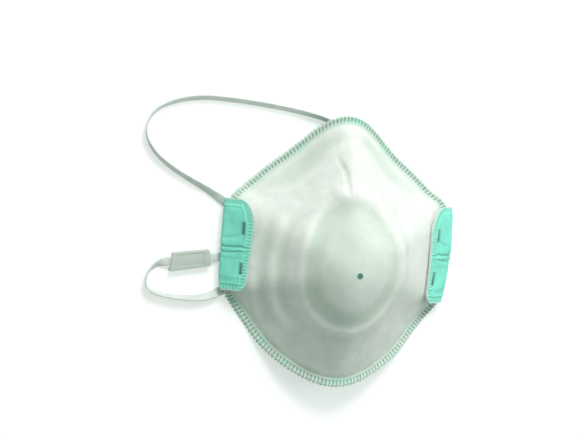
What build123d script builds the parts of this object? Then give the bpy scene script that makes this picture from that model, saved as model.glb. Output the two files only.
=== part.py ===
from build123d import *
import math
import os

# Disposable dust mask, lying rim down. Millimetres.
# +Z runs from the wearer's face out through the cup, and +Y towards the nose.
# Left and right in names are as seen from the front, so left is -X.
# The origin is at the middle of the mask's foot, on the surface that it lies on.

# Overall cup
CUP_DEPTH = 46.5            # floor to the top of the dome
CUP_CENTRE_Y = -6.0         # the dome's crown, below the middle of the outline
NOSE_Y = 70.8               # rim at the bridge of the nose
CHIN_Y = -70.8              # rim under the chin
HALF_WIDTH_TOP = 60.6       # rim at the upper end of the ear fold
HALF_WIDTH_BOTTOM = 59.0    # rim at the lower end of the ear fold
FOLD_TOP_Y = 25.4
FOLD_BOTTOM_Y = -24.6

# How far the rim's foot stands off the floor
NOSE_LIFT = 10.6
CHIN_LIFT = 13.0
EAR_LIFT = 2.9
NOSE_RISE_FROM = 41.0
CHIN_RISE_FROM = -41.0
NOSE_RISE_CURVE = 1.8       # power of the rise: the larger, the later it starts
CHIN_RISE_CURVE = 1.7
EAR_LIFT_TOP = 26.5
EAR_LIFT_BOTTOM = -25.5
EAR_LIFT_RUN = 7.0
SOLE_DEPTH = 0.12           # the web's share that is pressed flat where the rim stands

# Webs, from outside to inside
SHELL_THICK = 0.55
FILTER_THICK = 0.45
LINING_THICK = 0.35
WEB_GAP = 0.08              # loose air between two webs

# The wall's shape from the crown (0) to the rim (1): place, share of the height, slope
WALL = [(0.0, 1.0, 0.0), (0.42, 0.735, -1.34), (0.645, 0.40, -1.52), (0.80, 0.19, -1.28),
        (0.90, 0.062, -1.15), (0.955, 0.0, 0.0), (1.0, 0.0, 0.0)]

# The rings that a web is lofted through: their shares of the way from crown to rim
RINGS = (0.05, 0.12, 0.20, 0.28, 0.36, 0.44, 0.52, 0.60, 0.68, 0.76, 0.82, 0.87, 0.91, 0.935, 0.96, 1.0)
RING_STEP = 6               # degrees between the points of a ring

# Ears
EAR_LINING_THICK = 0.5
EAR_BACKING_THICK = 0.7
EAR_WALL_GAP = 0.60         # between the ear's underside and the cup's wall
EAR_WIDTH = 16.6            # free edge from the fold's tangent, measured along the ear
FOLD_RADIUS = 0.95          # middle of the bent laminate
EAR_TOP_CORNER = 11.0
EAR_BOTTOM_CORNER = 5.0
EAR_TAPER = 2.0             # how much narrower the ear is at its foot
EAR_GAP = 0.45              # between the fold and the rim
EAR_END_GAP = 0.2           # between the ear's ends and the ends of the fold

# Staples
STAPLE_X = 53.2
UPPER_STAPLE_Y = 9.7
LOWER_STAPLE_Y = -12.0
STAPLE_CROWN = 6.2
WIRE_WIDE = 0.55
WIRE_THICK = 0.42
CLINCH_LENGTH = 2.2
LEG_CLEARANCE = 0.1
CLINCH_GAP = 0.6

# Nose clip and foam
CLIP_HALF_LENGTH = 25.0
CLIP_THICK = 0.8
CLIP_BAND = (0.76, 0.82)
FOAM_THICK = 2.5
FOAM_BAND = (0.72, 0.845)
FOAM_HALF_LENGTH = 27.0
STRIP_GAP = 0.15            # over the clip and over the foam
STRIP_END_ANGLE = 55.0      # where about the strips end, in degrees round the crown
STRIP_STATIONS = 14

# Weld spot on the crown
WELD_Y = -9.4
WELD_RADIUS = 1.6
WELD_PROUD = 0.25
WELD_GAP = 0.05             # between the spot's foot and the filter web

# Straps
STRAP_WIDE = 5.0
STRAP_THICK = 0.9
STRAP_WALL_GAP = 0.2
STATION_STEP = 5.0          # farthest between two sections of a strap

# Slider on the lower strap
BUCKLE_LENGTH = 20.5
BUCKLE_X = -78.6
RAIL_WIDE = 1.5
BAR_LENGTH = 3.2
PLATE_THICK = 1.0
BAR_THICK = 1.0
STRAP_SIDE_GAP = 0.3
STRAP_FACE_GAP = 0.3
SLOT_LENGTH = 1.8           # how far a slot in the plate reaches past its bar
BUCKLE_FILLET = 0.9
SLIDER_RUN = (9, 10)        # the rows of LOWER_ROUTE whose straight run the slider rides on

os.makedirs("parts", exist_ok=True)


def save(shape, node):
    export_step(shape, "parts/" + node + ".step")
    print(node, "volume", round(shape.volume, 2))


# ---------------------------------------------------------------- rim outline

UPPER_EDGE = [(48.0, 35.2), (38.4, 43.6), (30.3, 49.8), (21.6, 57.9), (13.4, 65.2), (6.8, 69.6)]
LOWER_EDGE = [(55.0, -30.0), (48.4, -38.4), (39.8, -50.0), (28.8, -59.6), (15.2, -67.3)]


def left_side(points):
    return [(-x, y) for x, y in points]


def rim_edges():
    """The rim seen from the front: two curves and the two straight ear folds."""
    right_top, right_foot = (HALF_WIDTH_TOP, FOLD_TOP_Y), (HALF_WIDTH_BOTTOM, FOLD_BOTTOM_Y)
    left_top, left_foot = left_side([right_top, right_foot])
    upper = [right_top] + UPPER_EDGE + [(0, NOSE_Y)] + left_side(UPPER_EDGE)[::-1] + [left_top]
    lower = [left_foot] + left_side(LOWER_EDGE) + [(0, CHIN_Y)] + LOWER_EDGE[::-1] + [right_foot]
    return [Spline(*upper), Line(left_top, left_foot), Spline(*lower), Line(right_foot, right_top)]


def rim_radii(edges):
    """The rim's distance from the crown for each degree, with its four corners eased."""
    steps = 150
    polar = []
    for edge in edges:
        for i in range(steps):
            p = edge @ (i / steps)
            dx, dy = p.X, p.Y - CUP_CENTRE_Y
            polar.append((math.degrees(math.atan2(dy, dx)) % 360, math.hypot(dx, dy)))
    polar.sort()
    polar = [(polar[-1][0] - 360, polar[-1][1])] + polar + [(polar[0][0] + 360, polar[0][1])]
    radii = []
    k = 0
    for degree in range(360):
        while polar[k + 1][0] < degree:
            k += 1
        (a, ra), (b, rb) = polar[k], polar[k + 1]
        radii.append(ra + (rb - ra) * (degree - a) / (b - a))
    ease = 4
    return [sum(radii[(d + j) % 360] for j in range(-ease, ease + 1)) / (2 * ease + 1) for d in range(360)]


RIM_EDGES = rim_edges()
RIM_RADII = rim_radii(RIM_EDGES)


def rim_radius(angle):
    degree = math.degrees(angle) % 360
    low = int(degree)
    return RIM_RADII[low % 360] + (RIM_RADII[(low + 1) % 360] - RIM_RADII[low % 360]) * (degree - low)


# ---------------------------------------------------------------- cup heights

def smooth(t):
    t = min(max(t, 0.0), 1.0)
    return t * t * (3 - 2 * t)


def foot_height(y):
    """Height of the rim's underside: up at the nose and the chin, and a little along the ears."""
    nose = NOSE_LIFT * (max(y - NOSE_RISE_FROM, 0) / (NOSE_Y - NOSE_RISE_FROM)) ** NOSE_RISE_CURVE
    chin = CHIN_LIFT * (max(CHIN_RISE_FROM - y, 0) / (CHIN_RISE_FROM - CHIN_Y)) ** CHIN_RISE_CURVE
    above = smooth((EAR_LIFT_TOP + EAR_LIFT_RUN - y) / EAR_LIFT_RUN)
    below = smooth((y - EAR_LIFT_BOTTOM + EAR_LIFT_RUN) / EAR_LIFT_RUN)
    return nose + chin + EAR_LIFT * above * below - SOLE_DEPTH


def wall_share(s):
    """The wall's share of the cup's height, by cubic spans between the rows of WALL."""
    s = min(s, 1.0)
    for (a, ga, ma), (b, gb, mb) in zip(WALL, WALL[1:]):
        if s <= b:
            t, span = (s - a) / (b - a), b - a
            return ((2 * t ** 3 - 3 * t * t + 1) * ga + (t ** 3 - 2 * t * t + t) * span * ma
                    + (3 * t * t - 2 * t ** 3) * gb + (t ** 3 - t * t) * span * mb)
    return 0.0


LAMINATE = SHELL_THICK + FILTER_THICK + LINING_THICK + 2 * WEB_GAP


def cup_height(x, y):
    """Height of the cup's outer face."""
    dx, dy = x, y - CUP_CENTRE_Y
    angle = math.atan2(dy, dx)
    reach = rim_radius(angle)
    base = foot_height(CUP_CENTRE_Y + reach * math.sin(angle)) + LAMINATE
    return base + (CUP_DEPTH - base) * wall_share(math.hypot(dx, dy) / reach)


def sunk_height(x, y, depth):
    """Height of the face that lies depth under the cup's outer face, square to the wall."""
    h = 0.5
    slope_x = (cup_height(x + h, y) - cup_height(x - h, y)) / (2 * h)
    slope_y = (cup_height(x, y + h) - cup_height(x, y - h)) / (2 * h)
    return cup_height(x, y) - depth * math.sqrt(1 + slope_x ** 2 + slope_y ** 2)


def on_cup(angle, s, depth):
    """The point at a share s of the way from crown to rim, depth under the outer face."""
    reach = rim_radius(angle) * s
    x, y = reach * math.cos(angle), CUP_CENTRE_Y + reach * math.sin(angle)
    return Vector(x, y, sunk_height(x, y, depth))


def ring(s, depth):
    points = [on_cup(math.radians(a), s, depth) for a in range(0, 360, RING_STEP)]
    if s == RINGS[0]:
        level = sum(p.Z for p in points) / len(points)
        points = [Vector(p.X, p.Y, level) for p in points]
    return Wire([Spline(*points, periodic=True)])


def web(outer_depth, inner_depth):
    """One web of the cup: out along its inner face, over the rim and back along its outer face."""
    rings = [ring(s, inner_depth) for s in RINGS] + [ring(s, outer_depth) for s in RINGS[::-1]]
    return Solid.make_loft(rings, ruled=True)


# ---------------------------------------------------------------- ears, as seen from the front

FOLD_FOOT = Vector(HALF_WIDTH_BOTTOM, FOLD_BOTTOM_Y, 0)
FOLD_TOP = Vector(HALF_WIDTH_TOP, FOLD_TOP_Y, 0)
FOLD_ALONG = (FOLD_TOP - FOLD_FOOT).normalized()
FOLD_OUT = FOLD_ALONG.cross(Vector(0, 0, 1))
FOLD_LENGTH = (FOLD_TOP - FOLD_FOOT).length
FOLD_MIDDLE = (FOLD_TOP + FOLD_FOOT) * 0.5
EAR_THICK = EAR_LINING_THICK + EAR_BACKING_THICK
FOLD_HEIGHT = EAR_LIFT - SOLE_DEPTH + LAMINATE / 2 + FOLD_RADIUS
FOLD_CENTRE = FOLD_MIDDLE + FOLD_OUT * EAR_GAP + Vector(0, 0, FOLD_HEIGHT)


def ear_clears(slope):
    """Whether an ear at this slope keeps its gap over the cup's wall."""
    up = FOLD_OUT * -math.cos(slope) + Vector(0, 0, math.sin(slope))
    foot = FOLD_CENTRE + FOLD_ALONG.cross(up) * (FOLD_RADIUS - EAR_THICK / 2)
    for i in range(-4, 5):
        for j in range(3, 11):
            p = foot + FOLD_ALONG * (FOLD_LENGTH / 2 * i / 5) + up * (EAR_WIDTH * j / 10)
            if p.Z < cup_height(p.X, p.Y) + EAR_WALL_GAP:
                return False
    return True


def ear_slope():
    """The lowest slope at which the ear clears the wall."""
    low, high = 0.0, math.pi / 2
    for _ in range(24):
        middle = (low + high) / 2
        if ear_clears(middle):
            high = middle
        else:
            low = middle
    return high


SLOPE = ear_slope()
EAR_UP = FOLD_OUT * -math.cos(SLOPE) + Vector(0, 0, math.sin(SLOPE))
EAR_NORMAL = FOLD_ALONG.cross(EAR_UP)
EAR_FOOT = FOLD_CENTRE + EAR_NORMAL * FOLD_RADIUS


def ear_outline():
    """The ear's outline in its own plane, reaching past the fold, with rounded free corners."""
    half = FOLD_LENGTH / 2 - EAR_END_GAP
    past_fold = 2 * FOLD_RADIUS + EAR_THICK
    corners = [(-half, -past_fold), (half, -past_fold), (half, EAR_WIDTH), (-half, EAR_WIDTH - EAR_TAPER)]
    face = make_face(Polyline(*corners, close=True))
    top = face.vertices().sort_by(Axis.X)[-2:].sort_by(Axis.Y)[-1]
    face = fillet(top, EAR_TOP_CORNER)
    foot = face.vertices().sort_by(Axis.X)[:2].sort_by(Axis.Y)[-1]
    return fillet(foot, EAR_BOTTOM_CORNER)


def ear_ply(inner, outer):
    """One ply of the right ear, between two radii of its fold."""
    turn = 180 - math.degrees(SLOPE)

    def bend(radius):
        return CenterArc((0, 0), radius, -90, turn)

    inside, outside = bend(inner), bend(outer)
    run = Vector(-math.cos(SLOPE), math.sin(SLOPE)) * (EAR_WIDTH + 2)
    far_inside, far_outside = inside @ 1 + run, outside @ 1 + run
    edges = [inside, Line(inside @ 1, far_inside), Line(far_inside, far_outside),
             Line(far_outside, outside @ 1), outside, Line(outside @ 0, inside @ 0)]
    section = Plane(FOLD_CENTRE, x_dir=FOLD_OUT, z_dir=FOLD_ALONG * -1) * make_face(edges)
    sheet = extrude(section, amount=FOLD_LENGTH, both=True)
    trim = Plane(EAR_FOOT, x_dir=FOLD_ALONG, z_dir=EAR_NORMAL) * ear_outline()
    return sheet & extrude(trim, amount=3 * EAR_WIDTH, both=True)


# ---------------------------------------------------------------- staples

def depth_below(point, depth):
    """How far under a point, along the ear's normal, the face at that depth of the cup lies."""
    near, far = 0.0, 12.0
    for _ in range(40):
        middle = (near + far) / 2
        p = point - EAR_NORMAL * middle
        if p.Z > sunk_height(p.X, p.Y, depth):
            near = middle
        else:
            far = middle
    return near


def staple_frame(y):
    """The right ear's outer face at a staple: X along the fold, Z off the face."""
    along = (y - FOLD_MIDDLE.Y) / FOLD_ALONG.Y
    across = (FOLD_CENTRE.X - STAPLE_X) / math.cos(SLOPE)
    point = EAR_FOOT + FOLD_ALONG * along + EAR_UP * across + EAR_NORMAL * (EAR_THICK / 2)
    return Plane(point, x_dir=FOLD_ALONG, z_dir=EAR_NORMAL)


def leg_depth(y):
    """Leg length through the ear, the cup and the strap's end."""
    through = depth_below(staple_frame(y).origin, LAMINATE)
    return through + STRAP_WALL_GAP + STRAP_THICK + CLINCH_GAP + WIRE_THICK


def box_between(low, high):
    size = [b - a for a, b in zip(low, high)]
    return Pos(*low) * Box(*size, align=(Align.MIN, Align.MIN, Align.MIN))


def staple(y):
    """One wire staple, its two points folded towards each other behind the strap."""
    half, wide, deep = STAPLE_CROWN / 2, WIRE_WIDE / 2, leg_depth(y)
    body = box_between((-half, -wide, 0), (half, wide, WIRE_THICK))
    for side in (-1, 1):
        outer, inner = side * half, side * (half - WIRE_THICK)
        tip = side * (half - CLINCH_LENGTH)
        low, high = min(outer, inner), max(outer, inner)
        body += box_between((low, -wide, -deep), (high, wide, WIRE_THICK))
        body += box_between((min(outer, tip), -wide, -deep), (max(outer, tip), wide, -deep + WIRE_THICK))
    return staple_frame(y) * body


def leg_holes(y):
    """Where a staple's two legs pass through the sheets."""
    half, wide = STAPLE_CROWN / 2, WIRE_WIDE / 2 + LEG_CLEARANCE
    holes = []
    for side in (-1, 1):
        ends = sorted((side * (half + LEG_CLEARANCE), side * (half - WIRE_THICK - LEG_CLEARANCE)))
        hole = box_between((ends[0], -wide, -leg_depth(y) - 1), (ends[1], wide, 1))
        holes.append(staple_frame(y) * hole)
    return holes


# ---------------------------------------------------------------- nose clip and foam

def nose_strip(half_length, section):
    """A strip across the nose: one radial section after another, section giving (s, depth) rows."""
    reach = math.degrees(math.asin(half_length / rim_radius(math.radians(STRIP_END_ANGLE))))
    wires = []
    for i in range(STRIP_STATIONS + 1):
        angle = math.radians(90 + reach * (1 - 2 * i / STRIP_STATIONS))
        wires.append(Wire.make_polygon([on_cup(angle, s, depth) for s, depth in section], close=True))
    return Solid.make_loft(wires, ruled=True)


def nose_clip():
    near, far = CLIP_BAND
    top, foot = LAMINATE + STRIP_GAP, LAMINATE + STRIP_GAP + CLIP_THICK
    return nose_strip(CLIP_HALF_LENGTH, [(near, top), (far, top), (far, foot), (near, foot)])


def nose_foam():
    """The foam pad lies under the clip, which is stuck to the lining."""
    near, far = FOAM_BAND
    top = LAMINATE + 2 * STRIP_GAP + CLIP_THICK
    return nose_strip(FOAM_HALF_LENGTH, [(near, top), (far, top), (far, top + FOAM_THICK),
                                         (near, top + FOAM_THICK)])


# ---------------------------------------------------------------- straps

# Each row: x, y, z of the strap's middle, and its roll about its own run (0 is flat, 90 is on edge).
UPPER_ROUTE = [
    (-51.4, 5.0, 6.2, -43), (-51.8, 11.5, 5.8, -43), (-54.9, 16.6, 2.8, -28), (-59.4, 21.2, 1.0, -3),
    (-69.2, 27.6, 2.3, -48), (-80.0, 33.2, 2.6, -85), (-91.5, 39.6, 2.6, -96), (-101.0, 47.0, 2.6, -104),
    (-106.6, 57.5, 2.6, -107), (-103.0, 68.4, 2.6, -109), (-91.5, 74.3, 2.6, -112),
    (-77.0, 76.9, 2.6, -113), (-60.5, 76.0, 2.6, -112), (-43.0, 73.9, 2.6, -110), (-24.0, 70.6, 2.6, -106),
    (-6.0, 65.8, 2.6, -100), (8.0, 55.5, 2.6, -96), (15.0, 41.0, 2.6, -92), (22.5, 28.5, 2.6, -84),
    (35.5, 23.5, 2.7, -72), (46.5, 20.0, 4.6, -56), (51.3, 13.9, 6.4, -43), (51.5, 4.0, 6.35, -43)]
LOWER_ROUTE = [
    (-50.8, -7.0, 6.2, 43), (-51.0, -12.6, 5.7, 43), (-54.2, -18.2, 2.5, 25), (-59.0, -22.6, 0.95, 2),
    (-69.5, -27.6, 2.3, 50), (-81.5, -27.6, 2.6, 70), (-93.0, -25.4, 2.6, 73), (-101.8, -22.6, 2.6, 73),
    (-103.4, -14.2, 2.5, 60), (-95.8, -9.6, 1.85, 0), (-38.0, -3.0, 1.85, 0), (-12.0, 3.5, 1.2, 0),
    (12.0, 4.0, 1.0, 0), (34.0, 1.0, 1.4, -8), (46.0, 0.2, 4.4, -28), (50.5, -6.4, 6.2, -43),
    (50.8, -17.0, 6.15, -43)]


def corner_radii(points):
    """The largest arc that each corner of a route has room for."""
    radii = []
    for before, here, after in zip(points, points[1:], points[2:]):
        turn = math.radians((here - before).get_angle(after - here))
        shorter = min((here - before).length, (after - here).length)
        radii.append(0.45 * shorter / math.tan(turn / 2))
    return radii


def strap_stations(route):
    """Points, directions and rolls along a route of straight runs joined by tangent arcs."""
    points = [Vector(x, y, z) for x, y, z, _ in route]
    radii = corner_radii(points)
    edges = FilletPolyline(*points, radius=radii).edges()
    marks, travelled = [0.0], 0.0
    for edge in edges:
        if edge.geom_type == GeomType.CIRCLE:
            marks.append(travelled + edge.length / 2)
        travelled += edge.length
    marks.append(travelled)
    rolls = [row[3] for row in route]
    stations, travelled = [], 0.0
    for edge in edges:
        steps = max(1, math.ceil(edge.length / STATION_STEP))
        first = 0 if not stations else 1
        for i in range(first, steps + 1):
            place = travelled + edge.length * i / steps
            k = max(j for j in range(len(marks) - 1) if marks[j] <= place + 1e-9)
            share = (place - marks[k]) / (marks[k + 1] - marks[k])
            roll = rolls[k] + (rolls[k + 1] - rolls[k]) * smooth(share)
            stations.append((edge @ (i / steps), edge % (i / steps), roll))
        travelled += edge.length
    return stations, travelled


def strap(route):
    """A flat strap, rolling from one row's roll to the next."""
    stations, length = strap_stations(route)
    sections = []
    for point, along, roll in stations:
        level = Vector(-along.Y, along.X, 0).normalized()
        lean = math.radians(roll)
        wide = (level * math.cos(lean) + along.cross(level) * math.sin(lean)) * (STRAP_WIDE / 2)
        thick = along.cross(wide).normalized() * (STRAP_THICK / 2)
        sections.append(Wire.make_polygon([point + wide + thick, point - wide + thick,
                                           point - wide - thick, point + wide - thick], close=True))
    body = Solid.make_loft(sections, ruled=True)
    print("strap length", round(length, 1))
    return body


# ---------------------------------------------------------------- slider

def buckle():
    """A frame with a middle plate under the strap and a bar over it at each end."""
    start, end = (Vector(*LOWER_ROUTE[i][:3]) for i in SLIDER_RUN)
    along = (end - start).normalized()
    centre = start + along * ((BUCKLE_X - start.X) / along.X)
    level = Vector(-along.Y, along.X, 0).normalized()
    half_length, half_slot = BUCKLE_LENGTH / 2, STRAP_WIDE / 2 + STRAP_SIDE_GAP
    half_wide = half_slot + RAIL_WIDE
    face = STRAP_THICK / 2 + STRAP_FACE_GAP
    low, high = -face - PLATE_THICK, face + BAR_THICK
    body = box_between((-half_length, -half_wide, low), (half_length, half_wide, high))
    body = fillet(body.edges().filter_by(Axis.Z), BUCKLE_FILLET)
    body -= box_between((-half_length - 1, -half_slot, -face), (half_length + 1, half_slot, face))
    inner = half_length - BAR_LENGTH
    body -= box_between((-inner, -half_slot, 0), (inner, half_slot, high + 1))
    for side in (-1, 1):
        ends = sorted((side * (half_length + 1), side * (inner - SLOT_LENGTH)))
        body -= box_between((ends[0], -half_slot, low - 1), (ends[1], half_slot, 0))
    return Plane(centre, x_dir=along, z_dir=along.cross(level)) * body


# ---------------------------------------------------------------- build

def pierced(shape, holes):
    for hole in holes:
        shape -= hole
    return shape


def main():
    print("ear slope", round(math.degrees(SLOPE), 2))
    filter_at = SHELL_THICK + WEB_GAP
    lining_at = filter_at + FILTER_THICK + WEB_GAP
    right_holes = leg_holes(UPPER_STAPLE_Y) + leg_holes(LOWER_STAPLE_Y)
    left_holes = [mirror(hole, about=Plane.YZ) for hole in right_holes]
    holes = right_holes + left_holes

    crown = cup_height(0, WELD_Y)
    weld = Pos(0, WELD_Y, crown - SHELL_THICK + WELD_GAP) * Cylinder(
        WELD_RADIUS, SHELL_THICK + WELD_PROUD, align=(Align.CENTER, Align.CENTER, Align.MIN))
    weld_hole = Pos(0, WELD_Y, crown) * Cylinder(WELD_RADIUS, 4 * SHELL_THICK)
    save(pierced(web(0, SHELL_THICK), holes) - weld_hole, "outer_shell")
    save(weld, "centre_spot_weld")
    save(pierced(web(filter_at, filter_at + FILTER_THICK), holes), "filter_layer")
    floor = Box(4 * HALF_WIDTH_TOP, 4 * NOSE_Y, 10, align=(Align.CENTER, Align.CENTER, Align.MAX))
    save(pierced(web(lining_at, LAMINATE), holes) - floor, "inner_lining")

    ply_radius = FOLD_RADIUS + EAR_THICK / 2 - EAR_LINING_THICK
    lining = pierced(ear_ply(ply_radius, FOLD_RADIUS + EAR_THICK / 2), right_holes)
    backing = pierced(ear_ply(FOLD_RADIUS - EAR_THICK / 2, ply_radius), right_holes)
    for piece, name in ((lining, "ear_lining"), (backing, "ear_backing")):
        save(piece, "right_" + name)
        save(mirror(piece, about=Plane.YZ), "left_" + name)
    for y, level in ((UPPER_STAPLE_Y, "upper"), (LOWER_STAPLE_Y, "lower")):
        save(staple(y), "right_" + level + "_staple")
        save(mirror(staple(y), about=Plane.YZ), "left_" + level + "_staple")

    save(nose_clip(), "nose_clip")
    save(nose_foam(), "nose_foam")
    save(pierced(strap(UPPER_ROUTE), holes), "upper_strap")
    save(pierced(strap(LOWER_ROUTE), holes), "lower_strap")
    save(buckle(), "strap_buckle")


main()
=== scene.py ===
"""Disposable dust mask: the finish of its webs, ears, straps and slider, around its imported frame."""
import math

import bmesh
import bpy
import numpy as np
from bpy.props import FloatProperty, FloatVectorProperty, IntProperty, PointerProperty
from mathutils import Matrix, Vector
from mathutils.bvhtree import BVHTree


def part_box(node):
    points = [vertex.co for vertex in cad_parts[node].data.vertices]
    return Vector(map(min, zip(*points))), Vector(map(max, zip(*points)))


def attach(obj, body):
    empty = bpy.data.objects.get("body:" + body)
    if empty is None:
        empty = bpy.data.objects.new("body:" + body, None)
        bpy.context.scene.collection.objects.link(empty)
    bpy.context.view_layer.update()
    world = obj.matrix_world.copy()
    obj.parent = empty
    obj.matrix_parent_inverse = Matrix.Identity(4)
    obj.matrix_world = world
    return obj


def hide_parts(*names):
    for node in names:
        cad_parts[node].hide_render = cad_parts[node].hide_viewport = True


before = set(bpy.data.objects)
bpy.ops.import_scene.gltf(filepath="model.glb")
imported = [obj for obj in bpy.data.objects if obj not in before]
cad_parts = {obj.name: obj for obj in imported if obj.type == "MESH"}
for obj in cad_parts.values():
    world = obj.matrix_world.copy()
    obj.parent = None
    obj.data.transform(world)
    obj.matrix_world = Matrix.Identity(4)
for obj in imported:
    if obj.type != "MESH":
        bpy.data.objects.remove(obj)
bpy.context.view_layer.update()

bl_info = {
    "name": "Dust mask finish",
    "version": (1, 0, 0),
    "blender": (4, 5, 0),
    "location": "View3D > Sidebar > Mask",
    "description": "Builds the visible webs, ears, straps and slider of a cup-shaped dust mask",
    "category": "Object",
}

MM = 0.001


# ---------------------------------------------------------------- settings

class MaskShellSettings(bpy.types.PropertyGroup):
    """Sizes and colours of the moulded cup."""
    shell_thick: FloatProperty(name="Outer web", description="Thickness of the outer web",
                               default=0.55 * MM, unit="LENGTH")
    filter_thick: FloatProperty(name="Filter web", description="Thickness of the filter web",
                                default=0.45 * MM, unit="LENGTH")
    lining_thick: FloatProperty(name="Lining", description="Thickness of the mint lining",
                                default=0.35 * MM, unit="LENGTH")
    web_gap: FloatProperty(name="Web gap", description="Loose air between two webs",
                           default=0.08 * MM, unit="LENGTH")
    rib_pitch: FloatProperty(name="Crimp pitch", description="Distance between two crimps of the rim",
                             default=2.05 * MM, unit="LENGTH")
    rim_width: FloatProperty(name="Rim width", description="Width of the crimped rim",
                             default=3.6 * MM, unit="LENGTH")
    crimp_depth: FloatProperty(name="Crimp depth", description="Depth of one crimp",
                               default=0.24 * MM, unit="LENGTH")
    shell_colour: FloatVectorProperty(name="Outer web colour", description="Colour of the white web",
                                      subtype="COLOR", size=3, default=(0.885, 0.90, 0.87))
    crimp_colour: FloatVectorProperty(name="Crimp colour", description="Colour of the fused crimps",
                                      subtype="COLOR", size=3, default=(0.36, 0.50, 0.43))
    mint_colour: FloatVectorProperty(name="Mint", description="Colour of the mint lining",
                                     subtype="COLOR", size=3, default=(0.28, 0.89, 0.75))


class MaskStrapSettings(bpy.types.PropertyGroup):
    """Sizes and colours of the straps and the slider."""
    wide: FloatProperty(name="Strap width", description="Width of the elastic", default=5.0 * MM,
                        unit="LENGTH")
    thick: FloatProperty(name="Strap thickness", description="Thickness of the elastic",
                         default=0.9 * MM, unit="LENGTH")
    threads: IntProperty(name="Threads", description="Elastic threads across the strap", default=9)
    colour: FloatVectorProperty(name="Elastic colour", description="Colour of the elastic",
                                subtype="COLOR", size=3, default=(0.90, 0.94, 0.92))
    plastic: FloatVectorProperty(name="Slider tint", description="Tint of the clear slider",
                                 subtype="COLOR", size=3, default=(0.90, 0.96, 0.92))


class MaskStageSettings(bpy.types.PropertyGroup):
    """Floor, light and camera."""
    floor_colour: FloatVectorProperty(name="Floor", description="Colour of the floor", subtype="COLOR",
                                      size=3, default=(0.72, 0.73, 0.72))
    key_power: FloatProperty(name="Key light", description="Power of the soft key light", default=8.8)
    fill: FloatProperty(name="Fill", description="Strength of the surrounding light", default=0.34)
    lens: FloatProperty(name="Lens", description="Focal length in millimetres", default=126.5)


# ---------------------------------------------------------------- mesh helpers

def collection_add(obj):
    """Puts an object in the scene and hands it back."""
    bpy.context.scene.collection.objects.link(obj)
    return obj


def mesh_object(name, points, faces, material, smooth=True):
    """A new object from points and faces, in one material."""
    mesh = bpy.data.meshes.new(name)
    mesh.from_pydata([tuple(p) for p in points], [], [tuple(f) for f in faces])
    mesh.materials.append(material)
    mesh.polygons.foreach_set("use_smooth", [smooth] * len(mesh.polygons))
    mesh.update()
    return collection_add(bpy.data.objects.new(name, mesh))


def point_values(obj, name, values):
    """Stores one number per vertex, for the materials to read by name."""
    layer = obj.data.attributes.new(name, "FLOAT", "POINT")
    layer.data.foreach_set("value", np.asarray(values, dtype=np.float32).ravel())


def grid_faces(rows, columns, start, closed, flip):
    """Quads over a grid of rows x columns vertices, wrapping round the rows when closed."""
    faces = []
    for i in range(rows if closed else rows - 1):
        nxt = (i + 1) % rows
        for j in range(columns - 1):
            quad = (start + i * columns + j, start + nxt * columns + j,
                    start + nxt * columns + j + 1, start + i * columns + j + 1)
            faces.append(quad[::-1] if flip else quad)
    return faces


def smooth_rows(values, rounds, closed):
    """Averages each row with its neighbours, round the ring when closed."""
    for _ in range(rounds):
        before, after = (values[-1:], values[:1]) if closed else (values[:1], values[-1:])
        padded = np.concatenate([before, values, after])
        values = 0.25 * padded[:-2] + 0.5 * values + 0.25 * padded[2:]
    return values


def ease(low, high, value):
    """0 below low, 1 above high and smooth between, for arrays."""
    t = np.clip((value - low) / (high - low), 0.0, 1.0)
    return t * t * (3 - 2 * t)


def hump(value, width):
    """1 at zero, falling smoothly to 0 at plus and minus width."""
    t = np.clip(np.abs(value) / width, 0.0, 1.0)
    return (1 - t * t) ** 2


# ---------------------------------------------------------------- material helpers

def new_material(name):
    """A material with its node tree and its Principled shader."""
    material = bpy.data.materials.new(name)
    material.use_nodes = True
    tree = material.node_tree
    return material, tree, tree.nodes["Principled BSDF"]


def feed(tree, socket, value):
    """Links a socket to another one, or sets it to a number."""
    if isinstance(value, bpy.types.NodeSocket):
        tree.links.new(value, socket)
    else:
        socket.default_value = value


def add_node(tree, kind, settings=None, **inputs):
    """Adds a node; settings are its properties, and inputs are values or links by socket name."""
    made = tree.nodes.new(kind)
    for key, value in (settings or {}).items():
        setattr(made, key, value)
    for key, value in inputs.items():
        feed(tree, made.inputs[key.replace("_", " ")], value)
    return made


def math_node(tree, operation, first, second=0.5):
    """The output of a Math node."""
    made = add_node(tree, "ShaderNodeMath", {"operation": operation})
    feed(tree, made.inputs[0], first)
    feed(tree, made.inputs[1], second)
    return made.outputs[0]


def mix_colour(tree, share, first, second):
    """The colour output of a Mix node; its colour sockets are the seventh and eighth."""
    made = add_node(tree, "ShaderNodeMix", {"data_type": "RGBA"})
    for index, value in ((0, share), (6, first), (7, second)):
        feed(tree, made.inputs[index], value)
    return made.outputs[2]


def ramp(tree, value, low, high):
    """0 at low and 1 at high, clamped."""
    return add_node(tree, "ShaderNodeMapRange", {"clamp": True}, Value=value,
                    From_Min=low, From_Max=high).outputs[0]


def noise(tree, scale, **inputs):
    """Noise over the object's own coordinates."""
    place = add_node(tree, "ShaderNodeTexCoord").outputs["Object"]
    return add_node(tree, "ShaderNodeTexNoise", None, Vector=place, Scale=scale, **inputs).outputs["Fac"]


def bump(tree, height, strength, distance):
    """A normal bumped by a height."""
    return add_node(tree, "ShaderNodeBump", None, Strength=strength, Distance=distance,
                    Height=height).outputs[0]


def wire_shader(tree, shader, colour, normal, rough):
    """Feeds a shader its colour, normal and roughness."""
    feed(tree, shader.inputs["Base Color"], colour)
    feed(tree, shader.inputs["Normal"], normal)
    feed(tree, shader.inputs["Roughness"], rough)


def attribute(tree, name):
    """A number stored on the mesh by point_values."""
    return add_node(tree, "ShaderNodeAttribute", {"attribute_name": name}).outputs["Fac"]


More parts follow.
